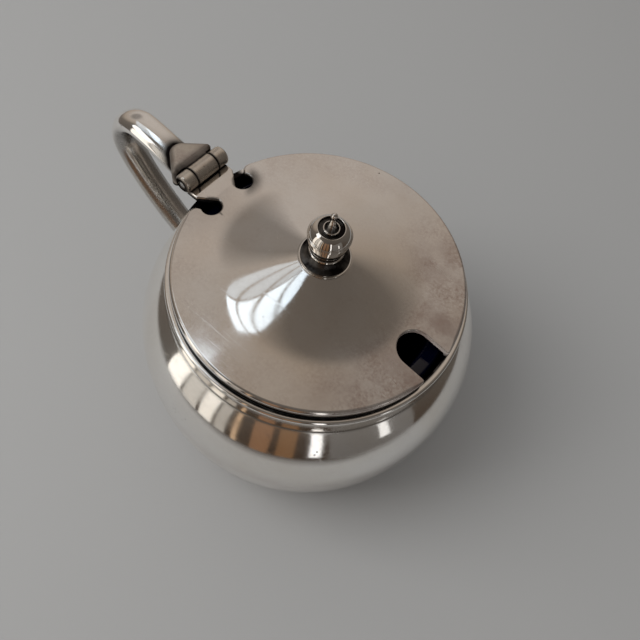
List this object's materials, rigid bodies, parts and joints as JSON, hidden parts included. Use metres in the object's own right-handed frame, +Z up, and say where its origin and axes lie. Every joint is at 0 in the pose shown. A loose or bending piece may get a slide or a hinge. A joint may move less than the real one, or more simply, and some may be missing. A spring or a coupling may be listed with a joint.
{
  "type": "hinged mustard pot",
  "caption": "Round bellied pot with a loop handle, a hinged domed lid with a spoon notch and turned finial, and a removable glass liner that holds mustard.",
  "frame": {"origin": "centre of the foot plate's underside, on the table", "axes": "+Z up along the pot's turning axis; -X towards the hinge and handle; +X towards the spoon notch"},
  "size_m": [0.0985, 0.0752, 0.0708],
  "materials": {
    "silver_body": "polished silver plate, lightly worn",
    "silver_lid": "polished silver plate, fine scratches and pits",
    "silver_hinge": "worn silver plate, dark in the joints",
    "silver_finial": "polished silver plate, tarnished in the grooves",
    "steel": "plain steel",
    "blue_glass": "cobalt blue glass, fire polished"
  },
  "bodies": {
    "pot": {"body_shell": "silver_body", "mouth_band": "silver_body", "foot": "silver_body", "handle": "silver_body", "hinge_block": "silver_hinge", "fixed_knuckle": "silver_hinge", "hinge_pin": "steel", "liner": "blue_glass"},
    "lid": {"lid": "silver_lid", "lid_knuckle_left": "silver_hinge", "lid_knuckle_right": "silver_hinge", "finial_collar": "silver_finial", "finial_knob": "silver_finial", "finial_screw": "steel", "finial_washer": "steel"}
  },
  "joints": [
    {"name": "lid_hinge", "type": "hinge", "parent": "pot", "child": "lid", "pos_m": [-0.03315, 0, 0.0531], "axis": [0, -1, 0], "range_deg": [0, 110]}
  ]
}
